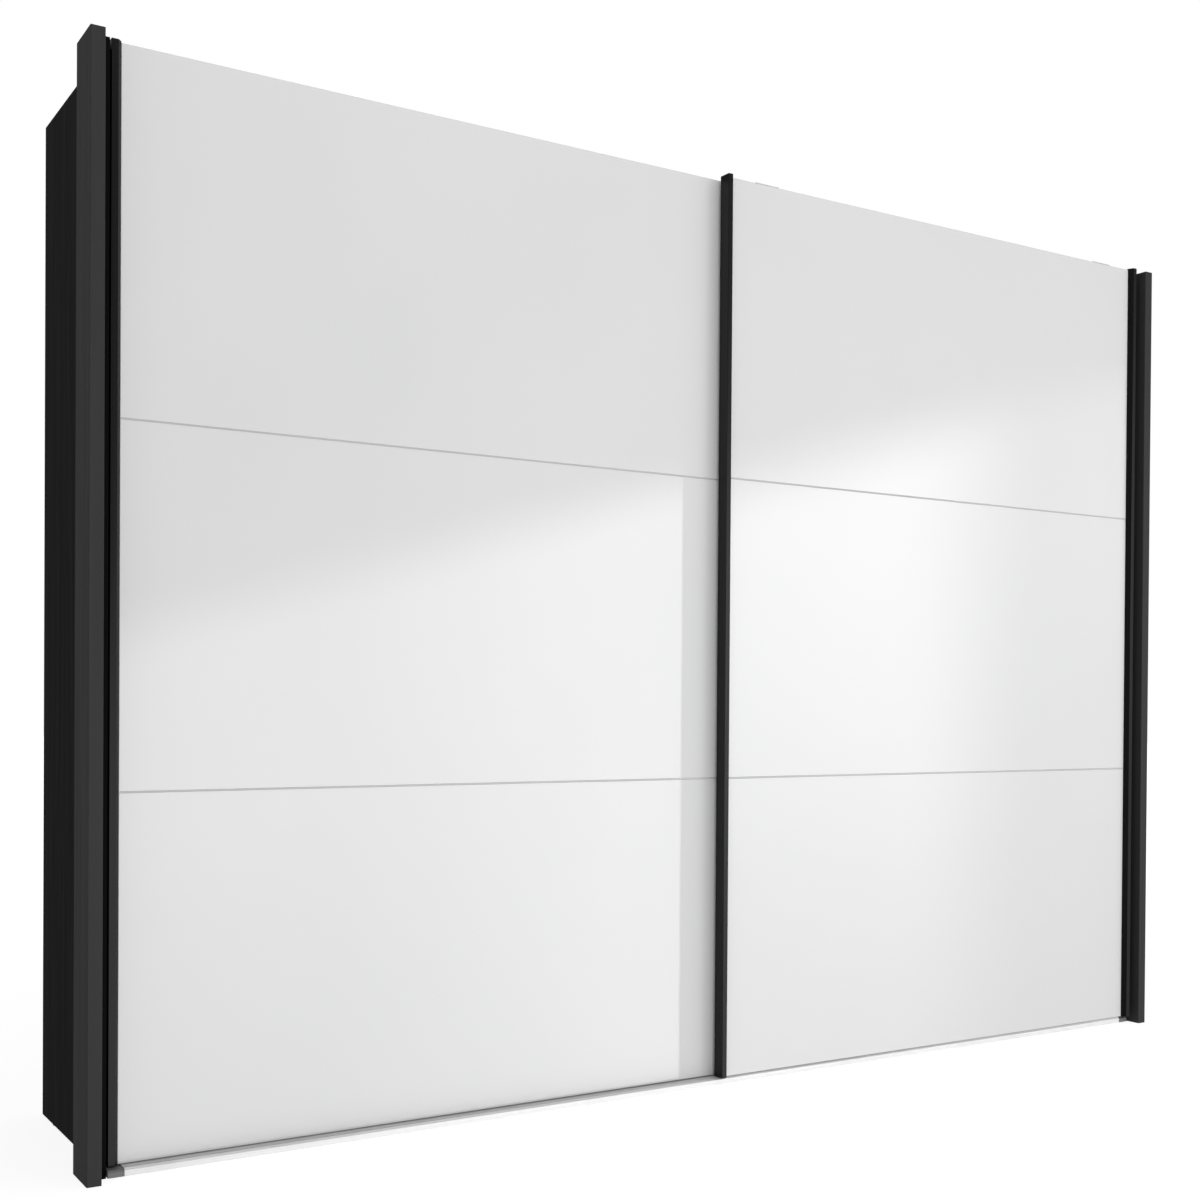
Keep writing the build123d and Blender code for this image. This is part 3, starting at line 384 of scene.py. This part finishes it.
# ------------------------------------------------------------------ floor
FLOOR_RADIUS = 40.0
FLOOR_RINGS = (3.0, 6.0, 12.0, 24.0, FLOOR_RADIUS)
FLOOR_SIDES = 96
FLOOR_GLOW = 1.2
GLOW_FROM, GLOW_FULL = 1.5, 6.0    # distances over which the floor turns into pure glow
GLOW_LEAST = 0.74                  # share of glow near the object
floor_points = [(0.0, 0.0, 0.0)]
for radius in FLOOR_RINGS:
    for step in range(FLOOR_SIDES):
        turn = 2 * math.pi * step / FLOOR_SIDES
        floor_points.append((radius * math.cos(turn), radius * math.sin(turn), 0.0))
floor_faces = []
for step in range(FLOOR_SIDES):
    after = (step + 1) % FLOOR_SIDES
    floor_faces.append((0, 1 + step, 1 + after))
    for ring in range(len(FLOOR_RINGS) - 1):
        inner, outer = 1 + ring * FLOOR_SIDES, 1 + (ring + 1) * FLOOR_SIDES
        floor_faces.append((inner + step, outer + step, outer + after, inner + after))
floor_mesh = bpy.data.meshes.new("floor")
floor_mesh.from_pydata(floor_points, [], floor_faces)
floor = bpy.data.objects.new("floor", floor_mesh)
scene.collection.objects.link(floor)
floor.visible_glossy = False

paint = Finish("floor_pale_paint")
speckle = paint.noise(40.0, detail=4.0)
paint.drive("Base Color", paint.mix(paint.spread(speckle, 0.3, 0.7), grey(0.86), grey(0.89)))
paint.drive("Roughness", paint.spread(speckle, 0.3, 0.7, 0.6, 0.72))
# Further off, the floor turns into the white of the studio, so that no horizon shows.
glow = paint.add("ShaderNodeEmission")
far = paint.add("ShaderNodeVectorMath", operation="LENGTH")
paint.feed(far.inputs[0], paint.place)
glow.inputs["Strength"].default_value = FLOOR_GLOW
fade = paint.add("ShaderNodeMixShader")
glow_share = paint.spread(far.outputs["Value"], GLOW_FROM, GLOW_FULL, GLOW_LEAST, 1.0)
paint.feed(fade.inputs[0], glow_share)
paint.feed(fade.inputs[1], paint.shader.outputs["BSDF"])
paint.feed(fade.inputs[2], glow.outputs["Emission"])
paint.feed(paint.output.inputs["Surface"], fade.outputs[0])
floor_mesh.materials.append(paint.material)

# ------------------------------------------------------------------ studio light
SKY_LEFT = 0.1
SKY_RIGHT = 0.6

# The front panel's pattern. Places on the panel are in metres, as a start and an end.
EDGE_SLOPE = 0.3               # its slanting upper edge: rise for each metre across
EDGE_AT_ZERO = 1.39            # height of that edge at x = 0
LEFT_EDGE = (-0.14, 0.2)       # how softly the left half starts below the edge
RIGHT_EDGE = (-0.14, 0.34)
LEFT_SPAN = (0.0, 1.8)         # along x, where the left half brightens
LEFT_RISE = (0.9, 1.5)         # and the strengths it goes between
RIGHT_SPAN = (-0.9, 1.9)       # in height, where the right half brightens
RIGHT_RISE = (0.8, 1.75)
BAR_LEFT = (1.835, 1.85)       # sharp left side of the dark upright bar
BAR_RIGHT = (1.98, 2.04)       # its softer right side
RIGHT_FADE = (3.05, 4.15)      # where the right half dims towards its end
RIGHT_REST = 0.28              # the share of it that is left there
LOW_FADE = (-3.3, -0.9)        # in height, where the panel starts at its lower edge

world = bpy.data.worlds.new("studio")
scene.world = world
world.use_nodes = True
sky = world.node_tree
sky.nodes.clear()
sky_output = sky.nodes.new("ShaderNodeOutputWorld")
seen = sky.nodes.new("ShaderNodeBackground")
lit = sky.nodes.new("ShaderNodeBackground")
seen.inputs["Color"].default_value = grey(1.0)
lit.inputs["Color"].default_value = grey(1.0)
# The surroundings are darker on the left of the wardrobe and lighter on its right.
heading = sky.nodes.new("ShaderNodeTexCoord")
sideways = sky.nodes.new("ShaderNodeSeparateXYZ")
sky.links.new(heading.outputs["Generated"], sideways.inputs[0])
level = sky.nodes.new("ShaderNodeMapRange")
sky.links.new(sideways.outputs[0], level.inputs["Value"])
for label, number in zip(RANGE_SOCKETS, (-1.0, 1.0, SKY_LEFT, SKY_RIGHT)):
    level.inputs[label].default_value = number
sky.links.new(level.outputs["Result"], lit.inputs["Strength"])
path = sky.nodes.new("ShaderNodeLightPath")
either = sky.nodes.new("ShaderNodeMixShader")
sky.links.new(path.outputs["Is Camera Ray"], either.inputs[0])
sky.links.new(lit.outputs[0], either.inputs[1])
sky.links.new(seen.outputs[0], either.inputs[2])
sky.links.new(either.outputs[0], sky_output.inputs["Surface"])


def softbox(name, centre, toward, size, radiance):
    """An area light of this brightness for each square metre, which isn't seen itself."""
    data = bpy.data.lights.new(name, "AREA")
    data.shape = "RECTANGLE"
    data.size, data.size_y = size
    data.energy = radiance * math.pi * size[0] * size[1]
    lamp = bpy.data.objects.new(name, data)
    scene.collection.objects.link(lamp)
    aim = (Vector(toward) - Vector(centre)).to_track_quat("-Z", "Y")
    lamp.matrix_world = Matrix.Translation(centre) @ aim.to_matrix().to_4x4()
    lamp.visible_camera = False
    return lamp


def window_pattern(lamp):
    """Shape the panel's light: a soft slanting top edge, and a dark bar between two halves."""
    data = lamp.data
    data.use_nodes = True
    tree = data.node_tree
    tree.nodes.clear()
    output = tree.nodes.new("ShaderNodeOutputLight")
    emission = tree.nodes.new("ShaderNodeEmission")
    tree.links.new(emission.outputs[0], output.inputs[0])
    geometry = tree.nodes.new("ShaderNodeNewGeometry")
    split = tree.nodes.new("ShaderNodeSeparateXYZ")
    tree.links.new(geometry.outputs["Position"], split.inputs[0])
    across, height = split.outputs[0], split.outputs[2]

    def calc(operation, left, other):
        node = tree.nodes.new("ShaderNodeMath")
        node.operation = operation
        for socket, value in zip(node.inputs, (left, other)):
            if isinstance(value, bpy.types.NodeSocket):
                tree.links.new(value, socket)
            else:
                socket.default_value = value
        return node.outputs[0]

    def ramp(value, start, end, from_value=0.0, to_value=1.0):
        node = tree.nodes.new("ShaderNodeMapRange")
        node.interpolation_type = "SMOOTHSTEP"
        tree.links.new(value, node.inputs["Value"])
        for label, number in zip(RANGE_SOCKETS, (start, end, from_value, to_value)):
            node.inputs[label].default_value = number
        return node.outputs["Result"]

    edge_height = calc("ADD", calc("MULTIPLY", across, EDGE_SLOPE), EDGE_AT_ZERO)
    below_edge = calc("SUBTRACT", edge_height, height)
    left_half = calc("MULTIPLY", ramp(below_edge, *LEFT_EDGE), ramp(across, *LEFT_SPAN, *LEFT_RISE))
    left_half = calc("MULTIPLY", left_half, ramp(across, *BAR_LEFT, 1.0, 0.0))
    right_half = calc("MULTIPLY", ramp(below_edge, *RIGHT_EDGE), ramp(across, *BAR_RIGHT))
    right_half = calc("MULTIPLY", right_half, ramp(across, *RIGHT_FADE, 1.0, RIGHT_REST))
    right_half = calc("MULTIPLY", right_half, ramp(height, *RIGHT_SPAN, *RIGHT_RISE))
    light = calc("MULTIPLY", calc("ADD", left_half, right_half), ramp(height, *LOW_FADE))
    tree.links.new(light, emission.inputs["Strength"])


# The front panel shows only in reflections, and the fill only as plain light.
front_panel = softbox(
    "front_panel",
    centre=(1.7, -3.0, -0.3), toward=(1.7, 0.0, -0.3), size=(6.6, 6.2), radiance=2.4,
)
window_pattern(front_panel)
front_panel.visible_diffuse = False
front_fill = softbox(
    "front_fill",
    centre=(1.1, -3.4, 0.9), toward=(1.1, 0.0, 0.8), size=(7.4, 2.4), radiance=1.0,
)
front_fill.visible_glossy = False
softbox(
    "overhead",
    centre=(-0.3, -1.6, 4.6), toward=(-0.2, -0.4, 0.0), size=(6.5, 4.2), radiance=0.75,
)
